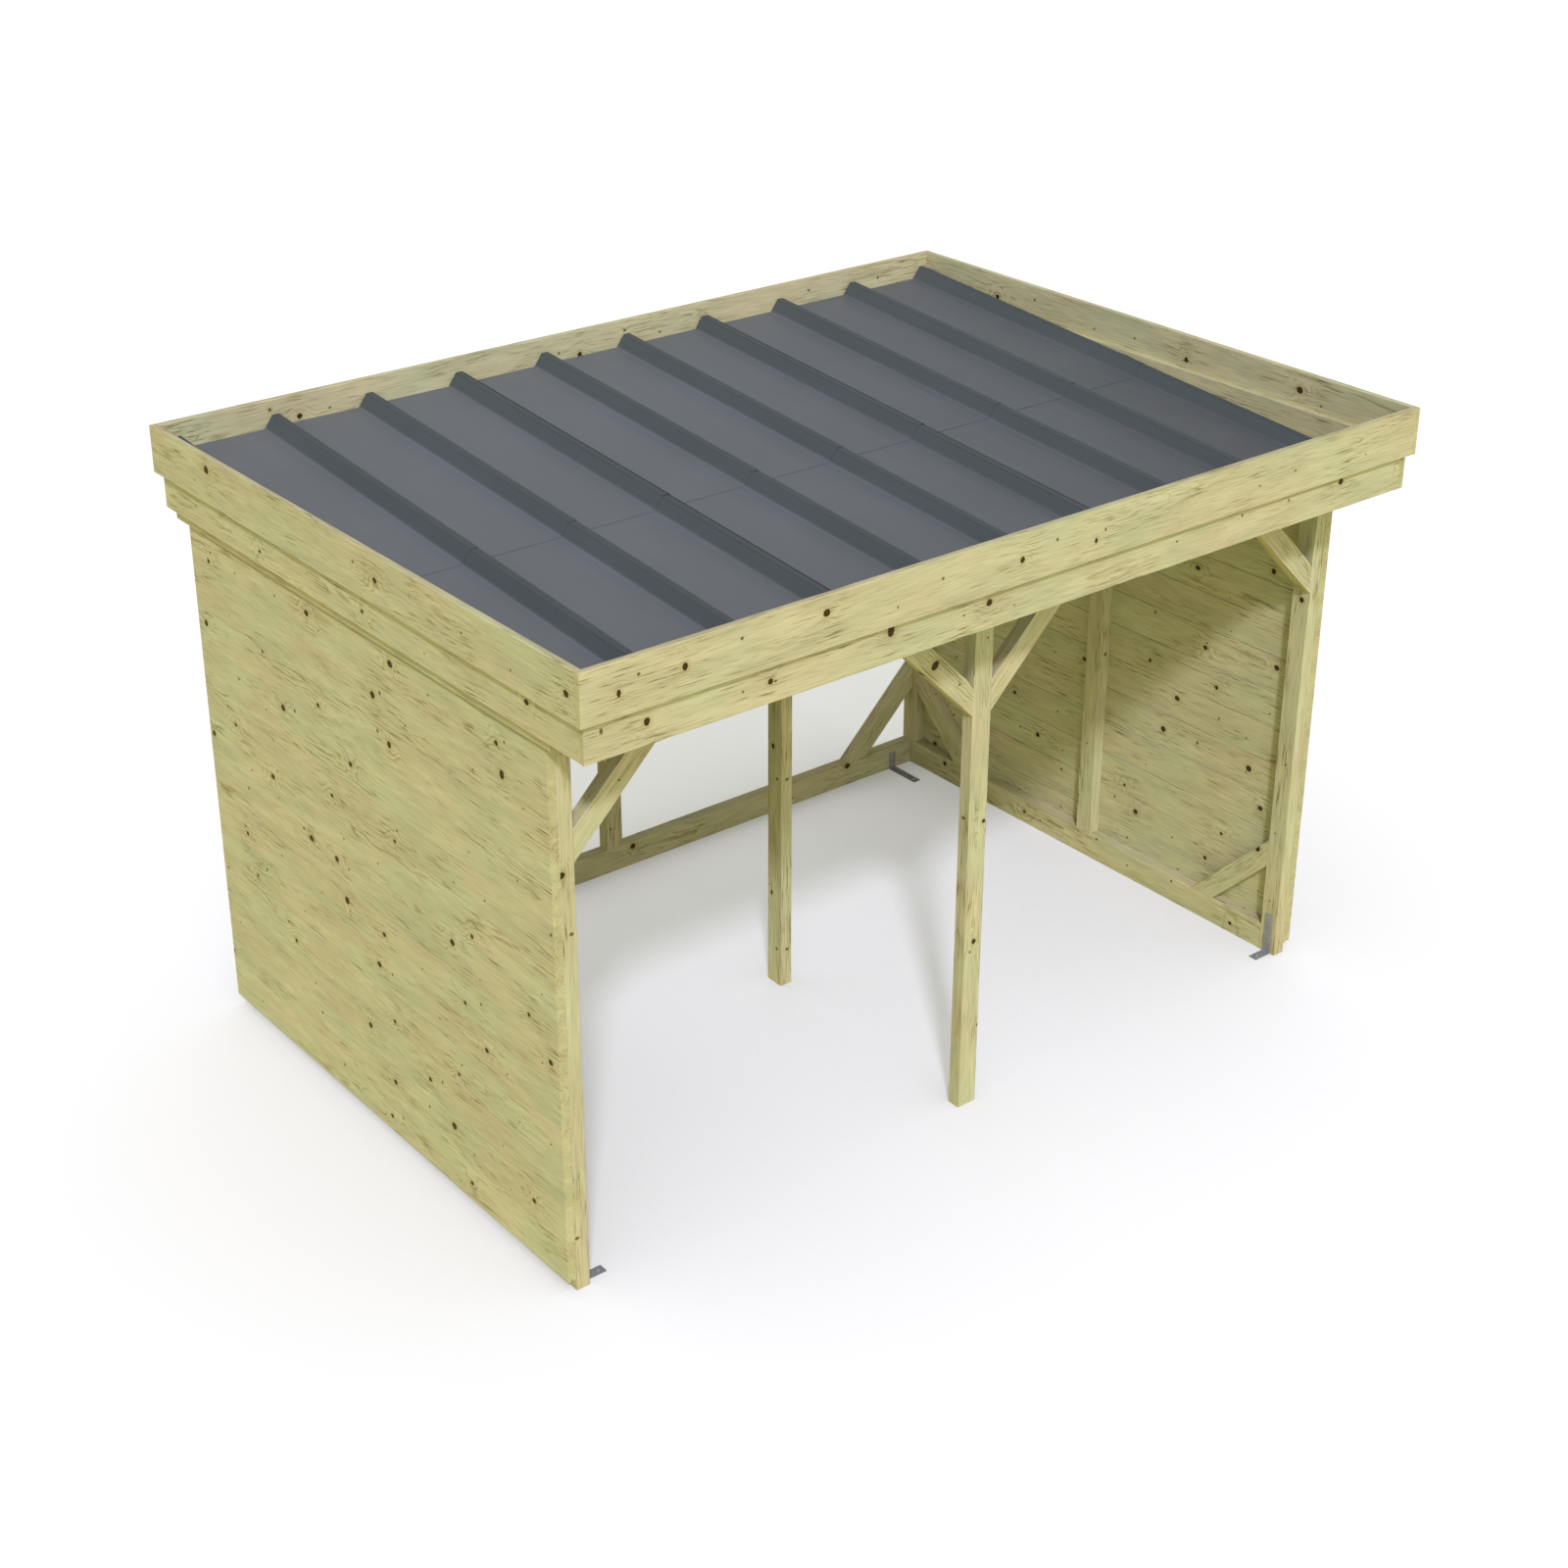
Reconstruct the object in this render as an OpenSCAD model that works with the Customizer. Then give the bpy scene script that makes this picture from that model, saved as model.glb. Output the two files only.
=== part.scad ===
// Open timber firewood shelter: two boarded side walls on a post frame,
// an open front and back, and a ribbed steel roof that falls to the front
// inside a level parapet of two stepped rows of boards.
// Millimetres. +X runs along the front, +Y to the back, +Z up.
// The origin is on the floor, under the middle of the parapet.

/* [Overall] */
// Width over the upper parapet boards
overall_w = 3120; // [2700:10:3600]
// Depth over the upper parapet boards
overall_d = 2270; // [2000:10:2600]
// Height of the level parapet top above the floor
overall_h = 2020; // [1800:10:2400]

/* [Frame timber] */
// Thin side of every frame timber
timber_t = 45; // [38:1:60]
// Wide side of the posts, beams and braces
timber_w = 70; // [60:1:90]
// Height of the floor sills
sill_h = 95; // [70:5:145]
// Height of the roof beams
beam_h = 95; // [70:5:145]
// Clear leg of each brace, from the post to its inner corner
brace_leg = 228; // [150:1:300]

/* [Side walls] */
// Thickness of the wall boards
wall_board_t = 28; // [19:1:40]
// Gap kept between the wall boards and the floor
wall_gap = 37; // [10:1:60]

/* [Parapet] */
// Thickness of the parapet boards
parapet_t = 20; // [18:1:28]
// Height of the parapet boards
parapet_h = 150; // [140:5:160]
// How far the lower row shows below the upper row
lower_show = 112; // [90:1:125]
// How far the verge packer shows below the lower row
verge_show = 36; // [25:1:45]
// Thickness of the verge packers between wall and parapet
verge_t = 18; // [15:1:28]
// How far the verge packers run past the front of the walls
verge_over = 45; // [20:1:60]
// From the parapet front to the front face of the posts
front_reach = 247; // [200:1:300]
// From the parapet back to the back face of the posts
back_reach = 81; // [75:1:110]

/* [Roof] */
// Fall of the roof towards the front, in degrees
roof_fall = 4.4; // [3:0.1:5]
// From the parapet top down to the roof at its back edge
roof_drop = 88; // [75:1:95]
// Thickness of the steel sheet
sheet_t = 1; // [0.8:0.1:1.5]
// From the left edge of the roof to the middle of the first rib
first_rib = 34; // [20:1:90]
// Spacing of the ribs
rib_pitch = 333; // [320:1:345]
// Height of the ribs
rib_h = 42; // [30:1:45]
// Width of a rib at its crown
rib_crown = 24; // [18:1:32]
// Width of a rib at its foot
rib_foot = 80; // [60:1:100]
// From the middle beam forward to the edge of the back row of sheets
lap_ahead = 42; // [20:1:80]
// Length by which the back row of sheets laps the front row
end_lap = 150; // [120:5:200]
// Gap between the front edge of the roof and the parapet, for the rain
drip_gap = 22; // [15:1:40]
// Gap between the other edges of the roof and the parapet
sheet_gap = 2; // [1:0.5:6]

/* [Floor brackets] */
// Width of the angle brackets
bracket_w = 32; // [30:1:40]
// Thickness of the angle brackets
bracket_t = 3; // [2:0.5:5]
// Long leg of a bracket
bracket_long = 150; // [120:5:180]
// Short leg of a bracket
bracket_short = 70; // [60:1:90]
// Bore for the floor anchors
anchor_d = 11; // [9:0.5:13]
// From the end of a floor leg to the middle of its anchor bore
anchor_edge = 20; // [15:1:30]
// From the back posts to the middle of the back brackets
back_bracket_in = 94; // [60:1:200]

/* [Hidden] */

$fn = 48;

// Colours of treated pine, dark coated steel and zinc
pine = [0.74, 0.72, 0.52];
pine_light = [0.78, 0.76, 0.57];
pine_shade = [0.62, 0.59, 0.38];
slate_steel = [0.40, 0.42, 0.44];
zinc = [0.60, 0.61, 0.62];

// Across: outer face of parapet, wall boards, then the posts
half_w = overall_w / 2;
wall_out = half_w - 2 * parapet_t - verge_t;
wall_in = wall_out - wall_board_t;
post_in = wall_in - timber_t;

// Along: front and back faces of the frame, and the middle posts
front_y = -overall_d / 2 + front_reach;
back_y = overall_d / 2 - back_reach;
mid_y = (front_y + back_y) / 2;
mid_front_y = mid_y - timber_w;
mid_beam_y = mid_y - timber_w / 2 - timber_t / 2;
back_post_y = back_y - timber_w;

// Parapet rows, from the top down
upper_z = overall_h - parapet_h;
lower_z = upper_z - lower_show;
verge_z = lower_z - verge_show;
inner_back_y = overall_d / 2 - parapet_t;

// Roof: a plane under the front row of sheets carries the beams
fall = tan(roof_fall);
row_lift = 2 * sheet_t;
roof_edge = half_w - 2 * parapet_t - sheet_gap;
roof_front_y = -overall_d / 2 + 2 * parapet_t + drip_gap;
roof_back_y = inner_back_y - sheet_gap;
lap_y = mid_beam_y - lap_ahead;
rib_flank = (rib_foot - rib_crown) / 2;

// Height of the beam plane at a place along the depth
function beam_z(y) =
  overall_h - roof_drop - (sheet_t + row_lift) / cos(roof_fall) - (inner_back_y - y) * fall;

// Height of the underside of the back row of sheets
function back_row_z(y) = beam_z(y) + row_lift / cos(roof_fall);

// Slanting cut face of a brace, measured along the timber it meets
brace_cut = timber_w * sqrt(2);

// Upright timber from z0 to z1, with x and y of its low corner
module upright(x, y, size_x, size_y, z0, z1) {
  translate([x, y, z0]) cube([size_x, size_y, z1 - z0]);
}

// Beam along X with its top cut to the fall of the roof
module roof_beam(y, lift) {
  z0 = beam_z(y) + lift - beam_h;
  z1 = beam_z(y + timber_t) + lift;
  translate([-wall_in, 0, 0])
    rotate([90, 0, 90])
      linear_extrude(height = 2 * wall_in)
        polygon([[y, z0], [y + timber_t, z0], [y + timber_t, z1], [y, z0 + beam_h]]);
}

// Underside heights of the three beams
front_beam_z = beam_z(front_y) - beam_h;
mid_beam_z = beam_z(mid_beam_y) - beam_h;
back_beam_z = back_row_z(back_y - timber_t) - beam_h;

// Brace outline for a corner at the origin, reaching to +x and +y
module brace_outline() {
  polygon([
    [brace_leg, 0], [brace_leg + brace_cut, 0],
    [0, brace_leg + brace_cut], [0, brace_leg]
  ]);
}

// Brace in the plane of the front or back: corner at x, z, arms to side and up or down
module front_plane_brace(x, y, z, side, up) {
  translate([x, y + timber_t, z])
    rotate([90, 0, 0])
      linear_extrude(height = timber_t)
        scale([side, up, 1]) brace_outline();
}

// Brace in the plane of a side wall: corner at y, z, arms to along and up
module side_plane_brace(x, y, z, along) {
  translate([x, y, z])
    rotate([90, 0, 90])
      linear_extrude(height = timber_t)
        scale([along, 1, 1]) brace_outline();
}

// ---- Posts ----

module left_front_post() {
  color(pine_light) upright(-wall_in, front_y, timber_t, timber_w, 0, front_beam_z);
}

module right_front_post() {
  color(pine_light) upright(post_in, front_y, timber_t, timber_w, 0, front_beam_z);
}

module left_mid_post() {
  color(pine_shade) upright(-wall_in, mid_front_y, timber_t, timber_w, sill_h, mid_beam_z);
}

module right_mid_post() {
  color(pine_shade) upright(post_in, mid_front_y, timber_t, timber_w, sill_h, mid_beam_z);
}

module left_back_post() {
  color(pine_shade) upright(-wall_in, back_post_y, timber_t, timber_w, 0, back_beam_z);
}

module right_back_post() {
  color(pine_shade) upright(post_in, back_post_y, timber_t, timber_w, 0, back_beam_z);
}

module front_mid_post() {
  color(pine_light) upright(-timber_w / 2, front_y, timber_w, timber_t, 0, front_beam_z);
}

module centre_post() {
  color(pine) upright(-timber_t / 2, mid_front_y, timber_t, timber_w, 0, mid_beam_z);
}

module back_mid_post() {
  color(pine_shade)
    upright(-timber_w / 2, back_y - timber_t, timber_w, timber_t, sill_h, back_beam_z);
}

// ---- Sills and beams ----

sill_front_y = front_y + timber_w;
sill_len = back_post_y - sill_front_y;

module left_sill() {
  color(pine_shade) translate([-wall_in, sill_front_y, 0]) cube([timber_t, sill_len, sill_h]);
}

module right_sill() {
  color(pine_shade) translate([post_in, sill_front_y, 0]) cube([timber_t, sill_len, sill_h]);
}

module back_sill() {
  color(pine_shade)
    translate([-post_in, back_y - timber_t, 0]) cube([2 * post_in, timber_t, sill_h]);
}

module front_beam() {
  color(pine_shade) roof_beam(front_y, 0);
}

module mid_beam() {
  color(pine_shade) roof_beam(mid_beam_y, 0);
}

module back_beam() {
  color(pine_shade) roof_beam(back_y - timber_t, row_lift / cos(roof_fall));
}

// ---- Braces ----

module left_front_brace() {
  color(pine_light) front_plane_brace(-post_in, front_y, front_beam_z, 1, -1);
}

module mid_left_brace() {
  color(pine_light) front_plane_brace(-timber_w / 2, front_y, front_beam_z, -1, -1);
}

module mid_right_brace() {
  color(pine_light) front_plane_brace(timber_w / 2, front_y, front_beam_z, 1, -1);
}

module right_front_brace() {
  color(pine_light) front_plane_brace(post_in, front_y, front_beam_z, -1, -1);
}

module left_wall_front_brace() {
  color(pine) side_plane_brace(-wall_in, sill_front_y, sill_h, 1);
}

module right_wall_front_brace() {
  color(pine) side_plane_brace(post_in, sill_front_y, sill_h, 1);
}

module left_wall_back_brace() {
  color(pine_shade) side_plane_brace(-wall_in, back_post_y, sill_h, -1);
}

module right_wall_back_brace() {
  color(pine_shade) side_plane_brace(post_in, back_post_y, sill_h, -1);
}

module back_left_brace() {
  color(pine_shade) front_plane_brace(-post_in, back_y - timber_t, sill_h, 1, 1);
}

module back_right_brace() {
  color(pine_shade) front_plane_brace(post_in, back_y - timber_t, sill_h, -1, 1);
}

// ---- Side walls and verge packers ----

// Upright panel along Y with its top cut to the fall of the roof
module sloped_panel(x, thick, y0, y1, z0) {
  translate([x, 0, 0])
    rotate([90, 0, 90])
      linear_extrude(height = thick)
        polygon([[y0, z0], [y1, z0], [y1, beam_z(y1)], [y0, beam_z(y0)]]);
}

module left_wall() {
  color(pine) sloped_panel(-wall_out, wall_board_t, front_y, back_y, wall_gap);
}

module right_wall() {
  color(pine) sloped_panel(wall_in, wall_board_t, front_y, back_y, wall_gap);
}

verge_front_y = front_y - verge_over;
verge_back_y = overall_d / 2 - 2 * parapet_t;

module left_verge() {
  color(pine) sloped_panel(-wall_out - verge_t, verge_t, verge_front_y, verge_back_y, verge_z);
}

module right_verge() {
  color(pine) sloped_panel(wall_out, verge_t, verge_front_y, verge_back_y, verge_z);
}

// ---- Parapet: each board covers the end of the one before it ----

// One side of a square ring of boards, inset from the outline and laid out on the front
module ring_board(inset, width, depth, z) {
  translate([-width / 2 + inset, -depth / 2 + inset, z])
    cube([width - 2 * inset - parapet_t, parapet_t, parapet_h]);
}

// The four boards of one row are the front board turned a quarter at a time
module front_upper_board() {
  color(pine_light) ring_board(0, overall_w, overall_d, upper_z);
}

module right_upper_board() {
  color(pine) rotate([0, 0, 90]) ring_board(0, overall_d, overall_w, upper_z);
}

module back_upper_board() {
  color(pine) rotate([0, 0, 180]) ring_board(0, overall_w, overall_d, upper_z);
}

module left_upper_board() {
  color(pine) rotate([0, 0, 270]) ring_board(0, overall_d, overall_w, upper_z);
}

module front_lower_board() {
  color(pine_light) ring_board(parapet_t, overall_w, overall_d, lower_z);
}

module right_lower_board() {
  color(pine) rotate([0, 0, 90]) ring_board(parapet_t, overall_d, overall_w, lower_z);
}

module back_lower_board() {
  color(pine) rotate([0, 0, 180]) ring_board(parapet_t, overall_w, overall_d, lower_z);
}

module left_lower_board() {
  color(pine) rotate([0, 0, 270]) ring_board(parapet_t, overall_d, overall_w, lower_z);
}

// ---- Ribbed roof sheets ----

// Middle of a rib counted from the left
function rib_x(i) = first_rib - roof_edge + i * rib_pitch;

// Height of the steel over its pan at a place across rib i
function rib_rise(x, i) =
  max(0, min(rib_h, (rib_foot / 2 - abs(x - rib_x(i))) * rib_h / rib_flank));

// Points over one whole rib, whose left side is raised to lap over another sheet
function whole_rib(i, lift) = [
  [rib_x(i) - rib_foot / 2, lift],
  [rib_x(i) - rib_crown / 2, rib_h + lift],
  [rib_x(i) + rib_crown / 2, rib_h + lift],
  [rib_x(i) + rib_foot / 2, 0]
];

// Points up to the far edge of the crown, where the next sheet laps over
function lapped_rib(i) = [
  [rib_x(i) - rib_foot / 2, 0],
  [rib_x(i) - rib_crown / 2, rib_h],
  [rib_x(i) + rib_crown / 2, rib_h]
];

// How many spacings a sheet covers; the right one runs on to the edge of the roof
cover_count = 3;
lap_count = 2 * cover_count;
last_rib = floor((roof_edge + rib_foot / 2 - rib_x(0)) / rib_pitch);

// Underside lines of the three sheets
left_line = concat(
  [[-roof_edge, rib_rise(-roof_edge, 0)]],
  [for (i = [0 : cover_count - 1], p = whole_rib(i, 0)) if (p[0] > -roof_edge) p],
  lapped_rib(cover_count)
);
middle_line = concat(
  whole_rib(cover_count, sheet_t),
  [for (i = [cover_count + 1 : lap_count - 1], p = whole_rib(i, 0)) p],
  lapped_rib(lap_count)
);
right_line = concat(
  whole_rib(lap_count, sheet_t),
  [for (i = [lap_count + 1 : last_rib], p = whole_rib(i, 0)) if (p[0] < roof_edge) p],
  [[roof_edge, rib_rise(roof_edge, last_rib)]]
);

// Folded sheet of even height from its underside line, back end at y, z
module folded_sheet(line, y, z, length) {
  over = [for (i = [len(line) - 1 : -1 : 0]) line[i] + [0, sheet_t]];
  translate([0, y, z])
    rotate([roof_fall, 0, 0])
      rotate([90, 0, 0])
        linear_extrude(height = length)
          polygon(concat(line, over));
}

front_row_back_y = lap_y + end_lap;
front_row_len = (front_row_back_y - roof_front_y) / cos(roof_fall);
back_row_len = (roof_back_y - lap_y) / cos(roof_fall);

module front_row(line) {
  color(slate_steel) folded_sheet(line, front_row_back_y, beam_z(front_row_back_y), front_row_len);
}

module back_row(line) {
  color(slate_steel) folded_sheet(line, roof_back_y, back_row_z(roof_back_y), back_row_len);
}

module front_roof_left() { front_row(left_line); }
module front_roof_middle() { front_row(middle_line); }
module front_roof_right() { front_row(right_line); }
module back_roof_left() { back_row(left_line); }
module back_roof_middle() { back_row(middle_line); }
module back_roof_right() { back_row(right_line); }

// ---- Floor brackets ----

back_bracket_x = post_in - back_bracket_in;

// Angle with its upright leg on the plane x = 0 and its foot to +x
module angle_bracket(upright_leg, foot_leg) {
  difference() {
    translate([0, bracket_w / 2, 0])
      rotate([90, 0, 0])
        linear_extrude(height = bracket_w)
          polygon([
            [0, 0], [foot_leg, 0], [foot_leg, bracket_t],
            [bracket_t, bracket_t], [bracket_t, upright_leg], [0, upright_leg]
          ]);
    translate([foot_leg - anchor_edge, 0, -bracket_t]) cylinder(d = anchor_d, h = 3 * bracket_t);
  }
}

module front_left_bracket() {
  color(zinc)
    translate([-post_in, front_y + timber_w / 2, 0]) angle_bracket(bracket_long, bracket_short);
}

module front_right_bracket() {
  color(zinc)
    translate([post_in, front_y + timber_w / 2, 0])
      rotate([0, 0, 180]) angle_bracket(bracket_long, bracket_short);
}

module back_left_bracket() {
  color(zinc)
    translate([-back_bracket_x, back_y - timber_t, 0])
      rotate([0, 0, -90]) angle_bracket(bracket_short, bracket_long);
}

module back_right_bracket() {
  color(zinc)
    translate([back_bracket_x, back_y - timber_t, 0])
      rotate([0, 0, -90]) angle_bracket(bracket_short, bracket_long);
}

left_front_post();
left_mid_post();
left_back_post();
right_front_post();
right_mid_post();
right_back_post();
front_mid_post();
centre_post();
back_mid_post();
left_sill();
right_sill();
back_sill();
front_beam();
mid_beam();
back_beam();
left_front_brace();
mid_left_brace();
mid_right_brace();
right_front_brace();
left_wall_front_brace();
left_wall_back_brace();
right_wall_front_brace();
right_wall_back_brace();
back_left_brace();
back_right_brace();
left_wall();
right_wall();
left_verge();
right_verge();
front_upper_board();
right_upper_board();
back_upper_board();
left_upper_board();
front_lower_board();
right_lower_board();
back_lower_board();
left_lower_board();
front_roof_left();
front_roof_middle();
front_roof_right();
back_roof_left();
back_roof_middle();
back_roof_right();
front_left_bracket();
front_right_bracket();
back_left_bracket();
back_right_bracket();
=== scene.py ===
"""Looks of an open timber firewood shelter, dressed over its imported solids.

Planed treated-pine posts, sills, beams and braces, two boarded side walls, a level parapet of
stepped boards, a ribbed steel roof and four zinc floor brackets. Lengths are in metres. +X runs
along the front to the right, +Y to the back and +Z up.
"""

import logging
import math
import random
from dataclasses import dataclass
from enum import Enum
from typing import Any, Iterable, Sequence, Union
import bmesh
import bpy
from bmesh.types import BMEdge, BMesh, BMFace, BMVert
from bpy.types import ID, Material, Mesh, Node, NodeSocket, Object
from mathutils import Matrix, Vector


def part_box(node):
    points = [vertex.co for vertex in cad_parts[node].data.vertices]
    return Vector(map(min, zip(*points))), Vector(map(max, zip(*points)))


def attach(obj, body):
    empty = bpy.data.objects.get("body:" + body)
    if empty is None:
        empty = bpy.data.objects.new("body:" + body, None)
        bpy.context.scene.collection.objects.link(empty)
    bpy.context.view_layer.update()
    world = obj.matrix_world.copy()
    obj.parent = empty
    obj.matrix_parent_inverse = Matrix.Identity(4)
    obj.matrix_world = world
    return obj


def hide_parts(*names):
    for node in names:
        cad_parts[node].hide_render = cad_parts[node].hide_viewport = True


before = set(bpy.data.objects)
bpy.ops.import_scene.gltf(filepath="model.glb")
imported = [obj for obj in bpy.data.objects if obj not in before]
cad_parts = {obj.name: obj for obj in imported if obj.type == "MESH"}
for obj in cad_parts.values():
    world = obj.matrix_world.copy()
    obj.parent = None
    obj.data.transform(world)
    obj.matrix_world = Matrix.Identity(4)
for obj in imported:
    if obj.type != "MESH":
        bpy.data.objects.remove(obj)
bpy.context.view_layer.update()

LOG = logging.getLogger("firewood_shelter")
BODY = "root"

Colour = tuple[float, float, float, float]
Triple = tuple[float, float, float]

X_AXIS = Vector((1, 0, 0))
Y_AXIS = Vector((0, 1, 0))
Z_AXIS = Vector((0, 0, 1))
ROOF_FALL = math.radians(4.4)

# Points nearer to each other than this lie in one place
TOUCH = 1e-6
# Faces that meet at less than this are one face
NO_BEND = math.radians(1)
# How squarely an edge has to run along its timber, and a sawn face look along it
ALONG = 0.99
END_ON = 0.6


def srgb(red: int, green: int, blue: int) -> Colour:
    """Turns a screen colour into the linear colour that a shader takes.

    Args:
        red: Red, 0 to 255.
        green: Green, 0 to 255.
        blue: Blue, 0 to 255.

    Returns:
        The linear colour with full alpha.
    """

    def linear(level: int) -> float:
        """Undoes the screen curve of one channel."""
        share = level / 255
        return share / 12.92 if share <= 0.04045 else ((share + 0.055) / 1.055) ** 2.4

    return linear(red), linear(green), linear(blue), 1.0


# ---- Shader building ----


class Value:
    """A number in a shader, which Python's own operators work on."""

    def __init__(self, recipe: "Recipe", socket: NodeSocket) -> None:
        """Keeps the socket and the recipe that it belongs to."""
        self.recipe = recipe
        self.socket = socket

    def __add__(self, other: "Number") -> "Value":
        """This plus other."""
        return self.recipe.maths("ADD", self, other)

    def __sub__(self, other: "Number") -> "Value":
        """This less other."""
        return self.recipe.maths("SUBTRACT", self, other)

    def __rsub__(self, other: "Number") -> "Value":
        """Other less this."""
        return self.recipe.maths("SUBTRACT", other, self)

    def __mul__(self, other: "Number") -> "Value":
        """This times other."""
        return self.recipe.maths("MULTIPLY", self, other)

    def __truediv__(self, other: "Number") -> "Value":
        """This over other."""
        return self.recipe.maths("DIVIDE", self, other)

    __radd__ = __add__
    __rmul__ = __mul__


Number = Union[Value, float]


class Recipe:
    """The node tree of one material, built call by call."""

    def __init__(self, name: str) -> None:
        """Starts an empty material of that name."""
        self.material = bpy.data.materials.new(name)
        self.material.use_nodes = True
        self.tree = self.material.node_tree
        self.tree.nodes.clear()

    def node(
        self,
        kind: str,
        settings: dict[str, Any] | None = None,
        inputs: dict[Any, Any] | None = None,
    ) -> Node:
        """Adds a node.

        Args:
            kind: Node type name.
            settings: Properties of the node, set before its sockets.
            inputs: Values or links by socket name or number.

        Returns:
            The node.
        """
        made = self.tree.nodes.new(kind)
        for key, value in (settings or {}).items():
            setattr(made, key, value)
        for key, value in (inputs or {}).items():
            source = value.socket if isinstance(value, Value) else value
            if isinstance(source, NodeSocket):
                self.tree.links.new(source, made.inputs[key])
            else:
                made.inputs[key].default_value = source
        return made

    def maths(self, operation: str, *values: Number) -> Value:
        """One Math node on one to three values."""
        made = self.node("ShaderNodeMath", {"operation": operation}, dict(enumerate(values)))
        return Value(self, made.outputs[0])

    def fade(self, value: Number, start: Number, stop: Number) -> Value:
        """A soft step from 0 at start to 1 at stop, either way round."""
        made = self.node(
            "ShaderNodeMapRange",
            {"interpolation_type": "SMOOTHSTEP"},
            {"Value": value, "From Min": start, "From Max": stop},
        )
        return Value(self, made.outputs["Result"])

    def stored(self, name: str, output: str = "Vector") -> NodeSocket:
        """What the mesh stores under that name."""
        return self.node("ShaderNodeAttribute", {"attribute_name": name}).outputs[output]

    def mask(self, name: str) -> Value:
        """A number that the mesh stores under that name."""
        return Value(self, self.stored(name, "Fac"))

    def where(self) -> NodeSocket:
        """The place on the object."""
        return self.node("ShaderNodeTexCoord").outputs["Object"]

    def split(self, vector: NodeSocket) -> list[Value]:
        """The three parts of a vector or colour."""
        made = self.node("ShaderNodeSeparateXYZ", inputs={0: vector})
        return [Value(self, part) for part in made.outputs]

    def join(self, *parts: Number) -> NodeSocket:
        """A vector from three numbers."""
        return self.node("ShaderNodeCombineXYZ", inputs=dict(enumerate(parts))).outputs[0]

    def noise(self, vector: NodeSocket, scale: Sequence[float], detail: float) -> Node:
        """Soft noise.

        Args:
            vector: Place that it depends on.
            scale: How many waves to a metre, each way.
            detail: How many finer layers it has.

        Returns:
            The noise node, with a grey level and then a colour.
        """
        place = self.node("ShaderNodeVectorMath", {"operation": "MULTIPLY"}, {0: vector, 1: scale})
        inputs = {"Vector": place.outputs[0], "Scale": 1.0, "Detail": detail}
        return self.node("ShaderNodeTexNoise", inputs=inputs)

    def level(self, vector: NodeSocket, scale: Sequence[float], detail: float) -> Value:
        """The grey level of soft noise."""
        return Value(self, self.noise(vector, scale, detail).outputs[0])

    def blend(self, share: Number, first: Any, second: Any, mode: str = "MIX") -> NodeSocket:
        """Mixes two colours.

        Args:
            share: How much of the second colour.
            first: Colour or socket.
            second: Colour or socket.
            mode: Blend type of the Mix node.

        Returns:
            The mixed colour.
        """
        made = self.node(
            "ShaderNodeMix",
            {"data_type": "RGBA", "blend_type": mode, "clamp_factor": True},
            {0: share, 6: first, 7: second},
        )
        return made.outputs[2]

    def surface(self, inputs: dict[str, Any], height: Value, depth: float) -> None:
        """Ends the recipe with a Principled shader.

        Args:
            inputs: Values or links of the shader.
            height: Relief, 0 to 1.
            depth: Depth of that relief.
        """
        bump = self.node("ShaderNodeBump", inputs={"Distance": depth, "Height": height})
        inputs = {**inputs, "Normal": bump.outputs[0]}
        shader = self.node("ShaderNodeBsdfPrincipled", inputs=inputs)
        self.node("ShaderNodeOutputMaterial", inputs={"Surface": shader.outputs[0]})


# ---- Finishes ----


@dataclass(frozen=True)
class KnotRow:
    """Knots along a board: at most one in each spacing of its length.

    Wander is how far aside they grow, share how many of the places hold one, and swell how far
    the growth rings bend round one, from the far reach to the near one.
    """

    spacing: float
    radius: float
    wander: float
    share: float
    seed: float
    swell: float
    swell_far: float
    swell_near: float


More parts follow.
